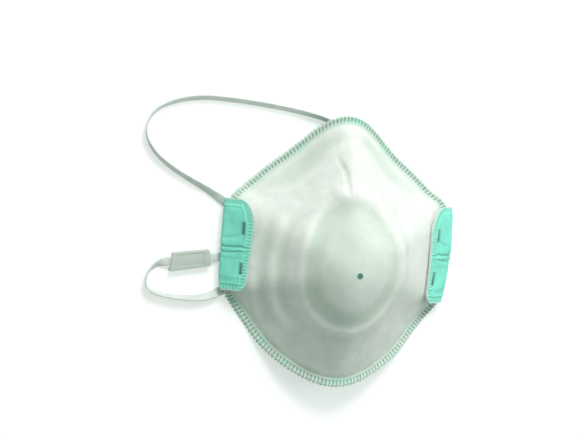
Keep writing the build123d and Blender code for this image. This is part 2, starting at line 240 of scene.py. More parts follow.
def group_socket(group, name, direction, default=None):
    """Adds a number to a node group's interface."""
    socket = group.interface.new_socket(name=name, in_out=direction, socket_type="NodeSocketFloat")
    if default is not None:
        socket.default_value = default


def web_fibres(tree, thread_scale, cloud_scale):
    """The shared fibre group, placed in a material at its own two scales."""
    return add_node(tree, "ShaderNodeGroup", {"node_tree": web_fibre_group()},
                    Thread_Scale=thread_scale, Cloud_Scale=cloud_scale)


def rgba(colour, scale=1.0):
    """A colour setting as a socket's value, lighter or darker by scale."""
    return (colour[0] * scale, colour[1] * scale, colour[2] * scale, 1.0)


def web_fibre_group():
    """Bonded fibres: a height of crossing threads, and a soft cloudy mask of thick and thin web."""
    if "web fibres" in bpy.data.node_groups:
        return bpy.data.node_groups["web fibres"]
    group = bpy.data.node_groups.new("web fibres", "ShaderNodeTree")
    group_socket(group, "Thread Scale", "INPUT", 1400.0)
    group_socket(group, "Cloud Scale", "INPUT", 160.0)
    group_socket(group, "Height", "OUTPUT")
    group_socket(group, "Cloud", "OUTPUT")
    inside = group.nodes.new("NodeGroupInput")
    outside = group.nodes.new("NodeGroupOutput")
    place = add_node(group, "ShaderNodeTexCoord").outputs["Object"]
    threads = []
    for turn in (0.5, 2.1):
        turned = add_node(group, "ShaderNodeMapping", None, Vector=place)
        turned.inputs["Rotation"].default_value = (0.3 * turn, 0.2 * turn, turn)
        turned.inputs["Scale"].default_value = (1.0, 0.16, 1.0)
        thread = add_node(group, "ShaderNodeTexNoise", None, Vector=turned.outputs[0],
                          Scale=inside.outputs["Thread Scale"], Detail=3.0, Distortion=0.6)
        threads.append(thread.outputs["Fac"])
    height = math_node(group, "MAXIMUM", *threads)
    cloud = add_node(group, "ShaderNodeTexNoise", None, Vector=place,
                     Scale=inside.outputs["Cloud Scale"], Detail=5.0, Roughness=0.62)
    group.links.new(height, outside.inputs["Height"])
    group.links.new(cloud.outputs["Fac"], outside.inputs["Cloud"])
    return group


def finish_web(tree, shader, colour, fibres, strength, sheen):
    """Wires a web's colour, roughness and fibre bump to its shader."""
    rough = add_node(tree, "ShaderNodeMapRange", None, Value=fibres.outputs["Cloud"],
                     To_Min=0.78, To_Max=0.95)
    normal = bump(tree, fibres.outputs["Height"], strength, 0.4 * MM)
    wire_shader(tree, shader, colour, normal, rough.outputs[0])
    shader.inputs["Specular IOR Level"].default_value = 0.25
    shader.inputs["Sheen Weight"].default_value = sheen


def white_web(name, crimped=True):
    """White spunbond web: cloudy fibres, painted green-grey shade in the hollows and, at the rim, fused
    crimps.
    """
    settings = bpy.context.scene.mask_shell
    material, tree, shader = new_material(name)
    fibres = web_fibres(tree, 1500.0, 170.0)
    base = mix_colour(tree, ramp(tree, fibres.outputs["Cloud"], 0.30, 0.72),
                      rgba(settings.shell_colour, 0.93), rgba(settings.shell_colour, 1.04))
    if crimped:
        # Painted shade: the hollow mask darkens the web towards green-grey in grooves, valleys and the
        # panel's middle.
        hollow = math_node(tree, "MULTIPLY", attribute(tree, "hollow"), 0.42)
        base = mix_colour(tree, hollow, base, (0.46, 0.62, 0.52, 1.0))
        patch = noise(tree, 70.0, Detail=2.0)
        fused = mix_colour(tree, ramp(tree, patch, 0.56, 0.70),
                           rgba(settings.crimp_colour), rgba(settings.mint_colour, 0.8))
        pale = mix_colour(tree, ramp(tree, patch, 0.45, 0.75),
                          (0.74, 0.83, 0.77, 1.0), (0.58, 0.86, 0.74, 1.0))
        base = mix_colour(tree, attribute(tree, "rim"), base, pale)
        base = mix_colour(tree, attribute(tree, "crimp"), base, fused)
    finish_web(tree, shader, base, fibres, 0.35, 0.15)
    return material


def mint_web(name):
    """Mint lining web, smoother than the outer one, with a paler and fused crimped edge."""
    mint = bpy.context.scene.mask_shell.mint_colour
    material, tree, shader = new_material(name)
    fibres = web_fibres(tree, 1100.0, 120.0)
    base = mix_colour(tree, ramp(tree, fibres.outputs["Cloud"], 0.32, 0.70),
                      rgba(mint, 0.86), rgba(mint, 1.12))
    # The hollow entry is painted shade: the mint darkens to 0.42 of itself in hollows, creases and
    # staple dents.
    for mask, colour in (("rim", (0.36, 0.88, 0.71, 1.0)), ("crimp", rgba(mint, 0.78)),
                         ("hollow", rgba(mint, 0.42)), ("edge", (0.70, 0.94, 0.86, 1.0))):
        base = mix_colour(tree, attribute(tree, mask), base, colour)
    finish_web(tree, shader, base, fibres, 0.22, 0.1)
    return material


CROSS_THREAD = 0.9 * MM      # pitch of the fine thread wound across the elastic


def elastic():
    """Covered elastic: rubber threads along the strap under a fine cross thread."""
    settings = bpy.context.scene.mask_strap
    material, tree, shader = new_material("elastic")
    waves = []
    for mask, turns, share in (("across", settings.threads, 0.6), ("along", 1 / CROSS_THREAD, 0.3)):
        angle = math_node(tree, "MULTIPLY", attribute(tree, mask), math.pi * 2 * turns)
        waves.append(math_node(tree, "MULTIPLY", math_node(tree, "SINE", angle, 0), share))
    height = math_node(tree, "ADD", *waves)
    fibres = web_fibres(tree, 2200.0, 90.0)
    # Painted shade and highlight: the colour darkens between the threads and lightens on their crests,
    # over the elastic's own cloudy tone.
    thread_shade_and_cloud = math_node(tree, "ADD", math_node(tree, "MULTIPLY", height, 0.25), fibres.outputs["Cloud"])
    colour = mix_colour(tree, ramp(tree, thread_shade_and_cloud, 0.2, 0.85),
                        rgba(settings.colour, 0.84), rgba(settings.colour, 1.1))
    wire_shader(tree, shader, colour, bump(tree, height, 0.5, 0.18 * MM), 0.72)
    shader.inputs["Subsurface Weight"].default_value = 0.6
    shader.inputs["Subsurface Radius"].default_value = (1.0, 1.0, 1.0)
    shader.inputs["Subsurface Scale"].default_value = 0.0015
    return material


def wire():
    """Staple wire: satin steel, drawn along its length, a little dull."""
    material, tree, shader = new_material("staple wire")
    drawn = noise(tree, 2600.0, Detail=4.0)
    colour = mix_colour(tree, drawn, (0.09, 0.22, 0.19, 1), (0.22, 0.38, 0.33, 1))
    tree.links.new(colour, shader.inputs["Base Color"])
    tree.links.new(ramp(tree, drawn, -0.6, 1.6), shader.inputs["Roughness"])
    shader.inputs["Metallic"].default_value = 0.55
    return material


def clear_plastic():
    """Clear moulded slider plastic with faint flow lines and a hazy skin."""
    material, tree, shader = new_material("clear plastic")
    flow = noise(tree, 240.0, Detail=2.0, Distortion=1.2)
    tint = bpy.context.scene.mask_strap.plastic
    colour = mix_colour(tree, flow, rgba(tint, 0.94), rgba(tint, 1.04))
    wire_shader(tree, shader, colour, bump(tree, flow, 0.25, 0.2 * MM), ramp(tree, flow, -1.2, 3.4))
    shader.inputs["Transmission Weight"].default_value = 0.35
    shader.inputs["IOR"].default_value = 1.49
    return material


def foam():
    """Open-cell foam: small round cells with painted shade in their pits, paler between them."""
    material, tree, shader = new_material("foam")
    place = add_node(tree, "ShaderNodeTexCoord").outputs["Object"]
    cells = add_node(tree, "ShaderNodeTexVoronoi", None, Vector=place, Scale=1300.0).outputs["Distance"]
    # Painted shade: the colour is darkest at each cell's pit and paler on the walls.
    colour = mix_colour(tree, ramp(tree, cells, 0.1, 0.6), (0.60, 0.66, 0.63, 1), (0.80, 0.84, 0.81, 1))
    wire_shader(tree, shader, colour, bump(tree, cells, 0.7, 0.4 * MM), 0.95)
    return material


def brushed(name, dark, light, metallic, rough):
    """A plain finish with streaks, for the clip and the fused spot."""
    material, tree, shader = new_material(name)
    streak = noise(tree, 900.0, Detail=5.0)
    wire_shader(tree, shader, mix_colour(tree, streak, dark, light), bump(tree, streak, 0.2, 0.1 * MM),
                ramp(tree, streak, -rough, 2 - rough))
    shader.inputs["Metallic"].default_value = metallic
    return material


# ---------------------------------------------------------------- the cup's surface

CROWN_Y = -6.0 * MM              # the dome's crown, where the cup's rays start
RAYS = 1440
DROP_FROM = 100 * MM             # height that downward rays start from
RIM_SEARCH = (50 * MM, 90 * MM)  # the rim lies between these distances from the crown
RIM_INSET = 0.2 * MM             # heights of the rim are read this far inside it
BLUR_LIFT = 0.35 * MM            # what the blur takes off the dome
BLUR_EDGE = (17 * MM, 6 * MM)    # from the rim: blurred heights before, exact ones after
FLOOR_GAP = 0.02 * MM            # the least height of a web above the floor


def node_tree_of(name):
    """A CAD node's mesh, for rays to hit."""
    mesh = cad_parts[name].data
    mesh.calc_loop_triangles()
    triangles = [tuple(t.vertices) for t in mesh.loop_triangles]
    return BVHTree.FromPolygons([v.co.copy() for v in mesh.vertices], triangles)


def drop(tree, x, y):
    """The height of the first face under a place, or None."""
    hit = tree.ray_cast(Vector((x, y, DROP_FROM)), Vector((0, 0, -1)))
    return None if hit[0] is None else hit[0].z


def rim_reach(tree, angles):
    """How far the rim lies from the crown along each ray, by halving."""
    reach = []
    for angle in angles:
        near, far = RIM_SEARCH
        for _ in range(14):
            middle = (near + far) / 2
            if drop(tree, middle * math.cos(angle), CROWN_Y + middle * math.sin(angle)) is None:
                far = middle
            else:
                near = middle
        reach.append(near)
    return smooth_rows(np.array(reach), 6, True)


def fill_holes(heights):
    """Bridges the small holes of staple legs and of the weld spot along each ray."""
    for row in heights:
        good = ~np.isnan(row)
        row[~good] = np.interp(np.flatnonzero(~good), np.flatnonzero(good), row[good])
    return heights


class HeightMap:
    """The cup's heights on a square grid, blurred so that no facet of the frame shows."""

    step = 1.25 * MM
    low = -80 * MM
    spread = 3.4                 # steps of the blur
    cut = 12                     # steps at which the blur stops

    def __init__(self, tree):
        count = int(-2 * self.low / self.step) + 1
        grid = np.zeros((count, count))
        seen = np.zeros((count, count))
        for i in range(count):
            for j in range(count):
                z = drop(tree, self.low + i * self.step, self.low + j * self.step)
                if z is not None:
                    grid[i, j], seen[i, j] = z, 1.0
        self.grid = self.blur(grid) / np.maximum(self.blur(seen), 1e-6)

    def blur(self, grid):
        """The grid blurred along both axes."""
        weights = np.exp(-0.5 * (np.arange(-self.cut, self.cut + 1) / self.spread) ** 2)
        for axis in (0, 1):
            grid = np.apply_along_axis(lambda line: np.convolve(line, weights, "same"), axis, grid)
        return grid

    def at(self, x, y):
        """The height at each place, between the four nearest grid points."""
        u, v = (x - self.low) / self.step, (y - self.low) / self.step
        i = np.clip(u.astype(int), 0, len(self.grid) - 2)
        j = np.clip(v.astype(int), 0, len(self.grid) - 2)
        a, b = u - i, v - j
        grid = self.grid
        return ((1 - a) * (1 - b) * grid[i, j] + a * (1 - b) * grid[i + 1, j]
                + (1 - a) * b * grid[i, j + 1] + a * b * grid[i + 1, j + 1])


def cup_shares():
    """Shares of the way from crown to rim: closer together in the crimped rim."""
    wall = np.linspace(0.012, 0.935, 62)
    rim = np.linspace(0.942, 1.0, 15)
    return np.concatenate([wall, rim])


class CupSurface:
    """The cup's outer face on a polar grid, with its relief, read once from the frame."""

    def __init__(self):
        tree = node_tree_of("outer_shell")
        self.angles = np.arange(RAYS) * 2 * math.pi / RAYS
        self.reach = rim_reach(tree, self.angles)
        self.shares = cup_shares()
        radius = self.reach[:, None] * self.shares[None, :]
        self.from_edge = self.reach[:, None] - radius
        self.x = radius * np.cos(self.angles)[:, None]
        self.y = CROWN_Y + radius * np.sin(self.angles)[:, None]
        inset = np.minimum(radius, self.reach[:, None] - RIM_INSET) / np.maximum(radius, 1e-9)
        heights = np.full(self.x.shape, np.nan)
        for i in range(RAYS):
            for j in range(len(self.shares)):
                y = CROWN_Y + (self.y[i, j] - CROWN_Y) * inset[i, j]
                z = drop(tree, self.x[i, j] * inset[i, j], y)
                if z is not None:
                    heights[i, j] = z
        heights = smooth_rows(fill_holes(heights), 10, True)
        inner = HeightMap(tree).at(self.x, self.y) + BLUR_LIFT
        blend = ease(*BLUR_EDGE, self.from_edge)
        self.z = inner * (1 - blend) + heights * blend
        rim = np.stack([self.x[:, -1], self.y[:, -1]], 1)
        steps = np.linalg.norm(np.roll(rim, -1, 0) - rim, axis=1)
        self.along = np.concatenate([[0], np.cumsum(steps)[:-1]])
        self.round = float(steps.sum())
        self.relief()

    def normals(self, points):
        """The grid's outward normals."""
        across = np.roll(points, -1, 0) - np.roll(points, 1, 0)
        out = np.gradient(points, axis=1)
        normal = np.cross(out, across)
        normal /= np.linalg.norm(normal, axis=2, keepdims=True) + 1e-12
        return normal

    def relief(self):
        """Lifts and sinks the plain cup: panel, bead, nose ridge, side grooves, valleys and crimps."""
        settings = bpy.context.scene.mask_shell
        x, y = self.x / MM, self.y / MM
        lift = panel_relief(x, y) + nose_relief(x, y) + side_grooves(x, y) + chin_folds(x, y)
        edge = self.from_edge / MM
        width = settings.rim_width / MM
        valley = 1.1 * hump(edge - 9.5, 6.0) * ease(28, 38, y) * ease(66, 55, y)
        lift = (lift - valley) * ease(width - 0.6, width + 3.5, edge)
        # Painted shade mask: hollow rises where the relief sinks and over the panel's middle, and the
        # webs darken there.
        inside = ease(1.5, -3.0, panel_out(x, y))
        self.hollow = np.clip(-lift / 1.3 + 0.65 * inside, 0, 1)
        lift += 0.55 * ease(2.2, 0.0, edge) - 0.25 * hump(edge - width - 0.3, 1.2)
        turns = round(self.round / settings.rib_pitch)
        wave = 0.5 - 0.5 * np.cos(2 * math.pi * turns * self.along / self.round)
        band = ease(0.05, 0.35, edge) * ease(width - 0.7, width - 1.3, edge)
        self.crimp = ease(0.40, 0.66, wave)[:, None] * band
        lift -= settings.crimp_depth / MM * self.crimp
        self.rim = ease(width + 1.4, width - 0.4, edge)
        points = np.stack([*lean(self.x, self.y), self.z], 2)
        self.points = points + self.normals(points) * (lift * MM)[:, :, None]
        self.facing = self.normals(self.points)

    def at_depth(self, depth):
        """The surface this far below the outer face, and never in the floor."""
        points = self.points - self.facing * depth
        points[:, :, 2] = np.maximum(points[:, :, 2], FLOOR_GAP)
        return points


LEAN_Y, LEAN_REACH = -25.5, 19.0
LEANS = ((-59.0, -2.1, 1.9), (58.0, -1.5, -2.0))  # a corner's x, and its shift across and up


def lean(x, y):
    """The cup is not quite even: its lower ear corners sit a little out of true."""
    for centre_x, shift_x, shift_y in LEANS:
        away = np.hypot(x - centre_x * MM, y - LEAN_Y * MM) / (LEAN_REACH * MM)
        pull = np.exp(-away ** 2) * MM
        x, y = x + shift_x * pull, y + shift_y * pull
    return x, y


PANEL_X, PANEL_Y = -1.6, -8.5        # the egg-shaped panel's middle
PANEL_WIDE = 25.9                    # half its width
PANEL_UP, PANEL_DOWN = 37.5, 31.0    # its reach towards the nose and towards the chin
PANEL_MEAN = 28.0


def panel_out(x, y, mean=PANEL_MEAN):
    """About how far a place lies outside the front panel's edge, in millimetres."""
    rise = np.where(y > PANEL_Y, PANEL_UP, PANEL_DOWN)
    return (np.sqrt(((x - PANEL_X) / PANEL_WIDE) ** 2 + ((y - PANEL_Y) / rise) ** 2) - 1.0) * mean


def panel_relief(x, y):
    """A raised bead round the panel, steep inside and soft outside, highest at the nose end."""
    out = panel_out(x, y)
    strength = 0.42 + 0.85 * ease(-38, 18, y + 0.5 * x)
    bead = np.where(out > 1.2, hump(out - 1.2, 6.5), hump(out - 1.2, 3.4))
    hollow = hump(out + 4.6, 5.6)
    return strength * (1.2 * bead - 0.9 * hollow)


def nose_relief(x, y):
    """The ridge over the bridge of the nose, with a crease on its left."""
    ridge = 1.3 * hump(x - 1.5, 9.0) * ease(32, 42, y) * ease(69, 60, y)
    bend = x + 4.2 + 0.35 * np.maximum(y - 41, 0)
    crease = -0.75 * hump(bend, 2.4) * ease(29, 33, y) * ease(52, 45, y)
    knuckle = 0.6 * hump(np.hypot(x + 8.4, 0.8 * (y - 31.4)), 4.6)
    return ridge + crease + knuckle


def side_grooves(x, y):
    """Curved grooves beside the panel, left by the mould: two on the left and one on the right."""
    out = panel_out(x, y, 27.0)
    left = ease(-14, -22, x) * ease(-46, -30, y) * ease(24, 12, y)
    right = ease(12, 20, x) * ease(-30, -18, y) * ease(32, 20, y)
    grooves = -0.65 * hump(out - 9.3, 4.0) - 0.6 * hump(out - 17.6, 4.2)
    ridges = 0.5 * hump(out - 13.4, 4.0) + 0.3 * hump(out - 21.5, 3.8)
    return (grooves + ridges) * left - 0.7 * hump(out - 7.5, 3.6) * right


def chin_folds(x, y):
    """Soft upright folds between the panel and the chin, and a light all-over unevenness."""
    zone = ease(-34, -44, y) * ease(-69, -60, y)
    folds = 0.26 * np.sin(x * 0.36 + 0.9 * np.sin(y * 0.09)) * zone
    uneven = 0.13 * np.sin(x * 0.21 + y * 0.13) * np.sin(y * 0.19 - x * 0.07)
    return folds + uneven


def thinned(count, step):
    """Every step-th column, and always the last."""
    return sorted({*range(0, count, step), count - 1})


def web_piece(name, surface, outer, inner, material, steps):
    """One closed web between two depths; steps thin its rays, its outer and its inner columns."""
    ray_step, outer_step, inner_step = steps
    count = len(surface.shares)
    outer_columns, inner_columns = thinned(count, outer_step), thinned(count, inner_step)
    top = surface.at_depth(outer)[::ray_step][:, outer_columns]
    foot = surface.at_depth(inner)[::ray_step][:, inner_columns]
    rows, columns = top.shape[:2]
    low = foot.shape[1]
    start = rows * columns
    points = [top.reshape(-1, 3), foot.reshape(-1, 3),
              top[:, 0].mean(0)[None], foot[:, 0].mean(0)[None]]
    faces = grid_faces(rows, columns, 0, True, True) + grid_faces(rows, low, start, True, False)
    crown, pit = start + rows * low, start + rows * low + 1
    for i in range(rows):
        nxt = (i + 1) % rows
        faces.append((i * columns + columns - 1, nxt * columns + columns - 1,
                      start + nxt * low + low - 1, start + i * low + low - 1)[::-1])
        faces.append((i * columns, nxt * columns, crown))
        faces.append((start + nxt * low, start + i * low, pit))
    piece = mesh_object(name, np.concatenate(points), faces, material)
    # hollow carries the painted shade of the cup's hollows to the materials.
    for label, values in (("crimp", surface.crimp), ("rim", surface.rim), ("hollow", surface.hollow)):
        rays = values[::ray_step]
        flat = [rays[:, outer_columns].ravel(), rays[:, inner_columns].ravel(), [0.0, 0.0]]
        point_values(piece, label, np.concatenate(flat))
    return piece


SURFACE = {}


def cup_surface():
    """The cup's surface, read once and shared."""
    if "cup" not in SURFACE:
        SURFACE["cup"] = CupSurface()
    return SURFACE["cup"]


class MASK_OT_cup(bpy.types.Operator):
    """Builds the white outer web with its panel, ridges and crimped rim"""
    bl_idname = "mask.cup"
    bl_label = "Outer web"

    def execute(self, context):
        settings = context.scene.mask_shell
        surface = cup_surface()
        piece = web_piece("outer_web", surface, 0.0, settings.shell_thick, white_web("white web"),
                          (1, 1, 4))
        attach(piece, "mask")
        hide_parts("outer_shell")
        return {"FINISHED"}


class MASK_OT_webs(bpy.types.Operator):
    """Builds the hidden filter web and the mint lining that shows inside"""
    bl_idname = "mask.webs"
    bl_label = "Filter and lining"

    def execute(self, context):
        settings = context.scene.mask_shell
        surface = cup_surface()
        start = settings.shell_thick + settings.web_gap
        rows = (("filter_web", "filter_layer", "filter_web", settings.filter_thick, (3, 2, 3),
                 white_web("filter web", False)),
                ("mint_lining", "inner_lining", "mint_web", settings.lining_thick, (2, 2, 1),
                 mint_web("mint lining")))
        for name, node, slot, thick, steps, material in rows:
            piece = web_piece(name, surface, start, start + thick, material, steps)
            point_values(piece, "edge", np.zeros(len(piece.data.vertices)))
            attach(piece, "mask")
            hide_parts(node)
            start += thick + settings.web_gap
        return {"FINISHED"}


# ---------------------------------------------------------------- ears

# Sizes of the ears are in millimetres.
EAR_SLOPE = math.radians(34.0)
FOLD_RADIUS = 0.95
FOLD_Z = 4.485                                   # height of the fold's middle
EAR_LINING = 0.5
EAR_BACKING = 0.7
PLY_GAP = 0.02
EAR_WIDTH = 16.6
EAR_FOOT_X, EAR_TOP_X = 59.0, 60.6
EAR_FOOT_Y, EAR_TOP_Y = -24.6, 25.4
EAR_END_GAP = 0.2                                # the ear stops this short of both ends
EAR_ROWS, EAR_COLUMNS, FOLD_COLUMNS = 260, 64, 14
EAR_FOOT_CORNER = 5.0
EAR_CORNER = {-1: (8.5, 12.0), 1: (10.5, 15.0)}  # each upper corner, across and along the fold
EAR_RIB_PITCH = 1.75
EAR_CREASES = ((-0.4, 0.03, 1.0, 1.0), (-3.6, -0.03, 0.8, 0.9), (-6.6, 0.05, 0.3, 1.2),
               (-18.0, 0.10, 0.35, 1.3), (4.5, -0.12, 0.25, 1.4))  # place, tilt, depth and width
STAPLE_PLACES = (9.7, -12.4)                     # along the fold
STAPLE_FLAT = 9.7                                # from the fold
SLIDER_ROOM = 61.15                              # reach of the fold over the slider


def ear_reach(side, along, half):
    """How far the ear reaches from its fold, for each place along it: rounded at both free corners."""
    wide, tall = EAR_CORNER[side]
    top = np.clip((along - (half - tall)) / tall, 0, 1)
    foot = np.clip((-(half - EAR_FOOT_CORNER) - along) / EAR_FOOT_CORNER, 0, 1)
    body = EAR_WIDTH - 1.4 - 2.2 * ease(half - 10, -half, along)
    return body - wide * (1 - np.sqrt(1 - top ** 2)) - EAR_FOOT_CORNER * (1 - np.sqrt(1 - foot ** 2))


def ear_sheet(side, offset, lift_share):
    """A ply's face as (points, masks): from the rim round the fold and up to the free edge."""
    rise_x, rise_y = EAR_TOP_X - EAR_FOOT_X, EAR_TOP_Y - EAR_FOOT_Y
    half = math.hypot(rise_x, rise_y) / 2 - EAR_END_GAP
    along = np.linspace(-half, half, EAR_ROWS)
    bend = (math.pi - EAR_SLOPE) * FOLD_RADIUS
    reach = ear_reach(side, along, half)
    path = np.zeros((EAR_ROWS, EAR_COLUMNS))
    path[:, :FOLD_COLUMNS] = np.linspace(0, bend, FOLD_COLUMNS)[None, :]
    rest = (np.arange(EAR_COLUMNS - FOLD_COLUMNS) + 1) / (EAR_COLUMNS - FOLD_COLUMNS)
    path[:, FOLD_COLUMNS:] = bend + reach[:, None] * rest[None, :]
    flat = np.maximum(path - bend, 0)
    lift, masks = ear_relief(side, along[:, None], flat, reach[:, None], half)
    angle = -math.pi / 2 + np.minimum(path, bend) / FOLD_RADIUS
    radius = FOLD_RADIUS + offset + lift_share * lift
    x = radius * np.cos(angle) - flat * math.cos(EAR_SLOPE)
    z = radius * np.sin(angle) + flat * math.sin(EAR_SLOPE)
    bow = 1.3 * (1 - (along / half) ** 2)[:, None] * np.exp(-flat / 9.0)
    share = (along[:, None] + half) / (2 * half)
    px = EAR_FOOT_X + rise_x * share + 0.45 + x + bow * ease(0.4, 1.6, path)
    py = EAR_FOOT_Y + EAR_END_GAP + (rise_y - 2 * EAR_END_GAP) * share + 0 * x
    x, y = lean(side * px * MM, py * MM)
    z = (FOLD_Z + z) * MM
    if side < 0:
        x = np.maximum(x, slider_room(y, z, offset))
    return np.stack([x, y, z], 2), masks


def slider_room(y, z, offset):
    """How far out the left ear may reach where the slider runs in under its fold."""
    beside = 1 - ease(-14.0, -12.0, y / MM) * ease(3.0, 1.0, y / MM)
    return -(SLIDER_ROOM + offset + 5 * ease(3.7, 4.5, z / MM) + 5 * beside) * MM


def ear_relief(side, along, flat, reach, half):
    """Crimps round the free edge, creases across, a soft swell and the staples' dents."""
    wide, tall = EAR_CORNER[side]
    from_free = reach - flat
    from_end = half - np.abs(along)
    corner_x, corner_y = (flat - (reach.max() - wide)) / wide, (along - (half - tall)) / tall
    turn = np.arctan2(np.maximum(corner_x, 0), np.maximum(corner_y, 0) + 1e-6)
    outline = np.minimum(from_free * np.where(along > half - tall, 0.8, 1.0), from_end)
    at_corner = (corner_x > 0) & (corner_y > 0)
    phase = np.where(at_corner, 11.0 * turn, np.where(from_free < from_end, along, flat)) / EAR_RIB_PITCH
    band = ease(0.3, 0.7, outline) * ease(3.3, 2.5, outline)
    slot = ease(0.40, 0.70, 0.5 - 0.5 * np.cos(2 * math.pi * phase)) * band
    wander = 0.30 * np.sin(flat * 0.55) + 0.16 * np.sin(flat * 1.3)
    creases = np.zeros_like(along + flat)
    for place, tilt, deep, width in EAR_CREASES:
        creases += deep * hump(along - place + tilt * flat + wander, width) * ease(15.0, 9.5, flat)
    puff = 0.40 * hump(along - 1.9, 2.6) + 0.45 * hump(along + 2.0 - wander, 1.5)
    swell = ease(2.5, 6.5, outline) * (0.28 + 0.10 * np.sin(along * 0.33 + flat * 0.2) + puff * 0.45)
    ridge = 0.25 * hump(outline - 3.7, 1.0) - 0.15 * hump(outline - 0.1, 0.7)
    dent = np.zeros_like(creases)
    for place in STAPLE_PLACES:
        dent += hump(np.maximum(np.abs(along - place) - 2.6, 0), 1.4) * hump(flat - STAPLE_FLAT, 1.7)
    lift = swell + ridge - 0.18 * slot - 0.34 * creases - 0.28 * np.clip(dent, 0, 1)
    # The hollow mask is painted shade in the creases and round the staples' dents.
    masks = {"crimp": slot * 0.4, "rim": ease(3.9, 2.6, outline) * 0.55,
             "hollow": np.clip(0.55 * creases + 0.9 * dent, 0, 1), "edge": ease(0.8, 0.1, outline)}
    return lift, {name: mask + 0 * flat for name, mask in masks.items()}


def ear_piece(name, side, inner, outer, material):
    """One closed ply between two offsets from the bent laminate's middle."""
    top, masks = ear_sheet(side, outer, 1.0)
    foot = ear_sheet(side, inner, 0.7 if inner < -0.3 else 1.0)[0]
    rows, columns = top.shape[:2]
    start = rows * columns
    flip = side > 0
    faces = (grid_faces(rows, columns, 0, False, flip)
             + grid_faces(rows, columns, start, False, not flip))
    border = [i * columns for i in range(rows)] + [(rows - 1) * columns + j for j in range(1, columns)]
    border += [i * columns + columns - 1 for i in range(rows - 2, -1, -1)]
    border += [j for j in range(columns - 2, 0, -1)]
    for a, b in zip(border, border[1:] + border[:1]):
        quad = (a, b, start + b, start + a)
        faces.append(quad[::-1] if flip else quad)
    points = np.concatenate([top.reshape(-1, 3), foot.reshape(-1, 3)])
    piece = mesh_object(name, points, faces, material)
    for label, values in masks.items():
        flat = np.broadcast_to(values, (rows, columns)).ravel()
        point_values(piece, label, np.concatenate([flat, flat]))
    return piece


class MASK_OT_ears(bpy.types.Operator):
    """Builds both folded ears, each a mint ply over a white one"""
    bl_idname = "mask.ears"
    bl_label = "Ears"

    def execute(self, context):
        mint, white = mint_web("mint ear"), white_web("white ear", False)
        half = (EAR_LINING + EAR_BACKING) / 2
        for word, side in (("left", -1), ("right", 1)):
            for ply, inner, outer, material, slot in (
                    ("lining", half - EAR_LINING, half, mint, "mint_web"),
                    ("backing", -half, half - EAR_LINING - PLY_GAP, white, "shell_web")):
                piece = ear_piece(f"{word}_ear_{ply}_web", side, inner, outer, material)
                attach(piece, "mask")
                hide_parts(f"{word}_ear_{ply}")
        return {"FINISHED"}


# ---------------------------------------------------------------- staples, clip, foam, spot

STAPLE_SHIFT = 1.15 * MM     # how far the staples sit up the ear towards its free edge
STAPLE_ROUNDING = 0.13 * MM
STAPLES = ("left_upper_staple", "left_lower_staple", "right_upper_staple", "right_lower_staple")


def rounded_copy(name, node, width, segments, material, leans=False):
    """A CAD node's shape with its edges rounded; leans moves it with the cup and up the ear."""
    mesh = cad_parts[node].data.copy()
    mesh.name = name
    mesh.materials.clear()
    mesh.materials.append(material)
    work = bmesh.new()
    work.from_mesh(mesh)
    bmesh.ops.remove_doubles(work, verts=work.verts, dist=0.01 * MM)
    bmesh.ops.dissolve_limit(work, angle_limit=0.02, verts=work.verts, edges=work.edges)
    sharp = [e for e in work.edges if len(e.link_faces) == 2 and e.calc_face_angle() > 0.5]
    bmesh.ops.bevel(work, geom=sharp, offset=width, segments=segments, profile=0.5, affect="EDGES")
    for vert in work.verts:
        if leans:
            vert.co.x, vert.co.y = (float(v) for v in lean(vert.co.x, vert.co.y))
            vert.co.x -= math.copysign(STAPLE_SHIFT, vert.co.x)
            vert.co.z += STAPLE_SHIFT * math.tan(EAR_SLOPE)
    work.to_mesh(mesh)
    work.free()
    mesh.polygons.foreach_set("use_smooth", [True] * len(mesh.polygons))
    return collection_add(bpy.data.objects.new(name, mesh))


class MASK_OT_fasteners(bpy.types.Operator):
    """Rounds the four staples' wire and finishes the weld spot"""
    bl_idname = "mask.fasteners"
    bl_label = "Staples and weld spot"

    def execute(self, context):
        material = wire()
        for node in STAPLES:
            piece = rounded_copy(node + "_wire", node, STAPLE_ROUNDING, 2, material, True)
            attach(piece, "mask")
            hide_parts(node)
        # The spot's dark green is partly the mint lining's own colour and partly painted shade of its
        # dish.
        fused = brushed("fused spot with painted shade", (0.07, 0.24, 0.19, 1), (0.11, 0.31, 0.25, 1), 0.0, 0.2)
        spot = weld_spot(fused)
        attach(spot, "mask")
        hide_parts("centre_spot_weld")
        return {"FINISHED"}


# The spot's section: distance from its middle and height over the panel, in millimetres.
SPOT_PROFILE = ((0.0, 0.10), (0.6, 0.10), (1.05, 0.14), (1.3, 0.22), (1.46, 0.20), (1.56, 0.08),
                (1.6, -0.35))


